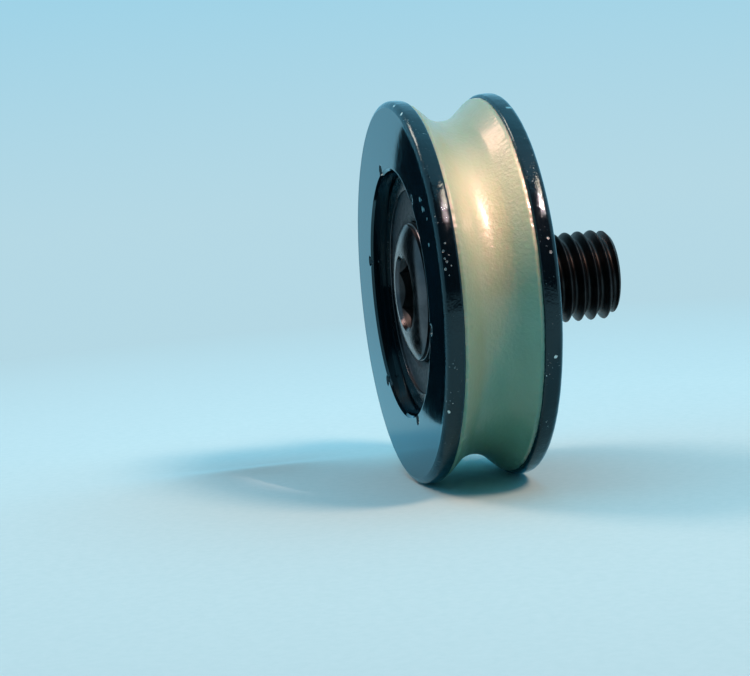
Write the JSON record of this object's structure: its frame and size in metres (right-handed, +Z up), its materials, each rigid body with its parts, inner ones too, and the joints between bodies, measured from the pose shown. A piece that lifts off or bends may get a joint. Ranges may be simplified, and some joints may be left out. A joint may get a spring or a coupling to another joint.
{
  "type": "elevator door roller",
  "caption": "Flanged steel door roller with a round-bottomed cast polyurethane tread, a sealed ball bearing and a threaded stud with a domed hex-socket head.",
  "frame": {"origin": "on the spin axis, in the plane where the rear spacer bears on the door hanger", "axes": "+Y along the spin axis, out of the threaded end of the stud; the domed head faces -Y; +Z up"},
  "size_m": [0.05, 0.0286, 0.05],
  "materials": {
    "black_enamel": "gloss black enamel on turned steel, chipped at the rims",
    "cast_polyurethane": "translucent cast polyurethane with a finely pebbled semi-gloss surface",
    "black_oxide_steel": "blackened steel, oiled",
    "bearing_steel": "ground bearing steel",
    "seal_rubber": "moulded black rubber, satin",
    "ball_steel": "lapped chrome steel",
    "cage_steel": "pressed steel sheet"
  },
  "bodies": {
    "stud_body": {"stud": "black_oxide_steel", "rear_spacer": "black_oxide_steel", "bearing_inner_ring": "bearing_steel"},
    "wheel": {"wheel_hub": "black_enamel", "tread": "cast_polyurethane", "bearing_outer_ring": "bearing_steel", "front_seal": "seal_rubber", "rear_seal": "seal_rubber"},
    "cage": {"cage_front_half": "cage_steel", "cage_rear_half": "cage_steel", "cage_rivets": "cage_steel"},
    "ball_1_body": {"ball_1": "ball_steel"},
    "ball_2_body": {"ball_2": "ball_steel"},
    "ball_3_body": {"ball_3": "ball_steel"},
    "ball_4_body": {"ball_4": "ball_steel"},
    "ball_5_body": {"ball_5": "ball_steel"},
    "ball_6_body": {"ball_6": "ball_steel"},
    "ball_7_body": {"ball_7": "ball_steel"}
  },
  "joints": [
    {"name": "wheel_spin", "type": "hinge", "parent": "stud_body", "child": "wheel", "pos_m": [0, -0.01, 0], "axis": [0, 1, 0], "continuous": true},
    {"name": "cage_orbit", "type": "hinge", "parent": "stud_body", "child": "cage", "pos_m": [0, -0.01, 0], "axis": [0, 1, 0], "continuous": true},
    {"name": "ball_1_spin", "type": "hinge", "parent": "cage", "child": "ball_1_body", "pos_m": [0, -0.01, 0.011], "axis": [0, 1, 0], "continuous": true},
    {"name": "ball_2_spin", "type": "hinge", "parent": "cage", "child": "ball_2_body", "pos_m": [-0.0086, -0.01, 0.00686], "axis": [0, 1, 0], "continuous": true},
    {"name": "ball_3_spin", "type": "hinge", "parent": "cage", "child": "ball_3_body", "pos_m": [-0.01072, -0.01, -0.00245], "axis": [0, 1, 0], "continuous": true},
    {"name": "ball_4_spin", "type": "hinge", "parent": "cage", "child": "ball_4_body", "pos_m": [-0.00477, -0.01, -0.00991], "axis": [0, 1, 0], "continuous": true},
    {"name": "ball_5_spin", "type": "hinge", "parent": "cage", "child": "ball_5_body", "pos_m": [0.00477, -0.01, -0.00991], "axis": [0, 1, 0], "continuous": true},
    {"name": "ball_6_spin", "type": "hinge", "parent": "cage", "child": "ball_6_body", "pos_m": [0.01072, -0.01, -0.00245], "axis": [0, 1, 0], "continuous": true},
    {"name": "ball_7_spin", "type": "hinge", "parent": "cage", "child": "ball_7_body", "pos_m": [0.0086, -0.01, 0.00686], "axis": [0, 1, 0], "continuous": true}
  ],
  "couplings": [
    {"joint": "cage_orbit", "follows": "wheel_spin", "ratio": 0.6353},
    {"joint": "ball_1_spin", "follows": "wheel_spin", "ratio": 1.7125},
    {"joint": "ball_2_spin", "follows": "wheel_spin", "ratio": 1.7125},
    {"joint": "ball_3_spin", "follows": "wheel_spin", "ratio": 1.7125},
    {"joint": "ball_4_spin", "follows": "wheel_spin", "ratio": 1.7125},
    {"joint": "ball_5_spin", "follows": "wheel_spin", "ratio": 1.7125},
    {"joint": "ball_6_spin", "follows": "wheel_spin", "ratio": 1.7125},
    {"joint": "ball_7_spin", "follows": "wheel_spin", "ratio": 1.7125}
  ]
}
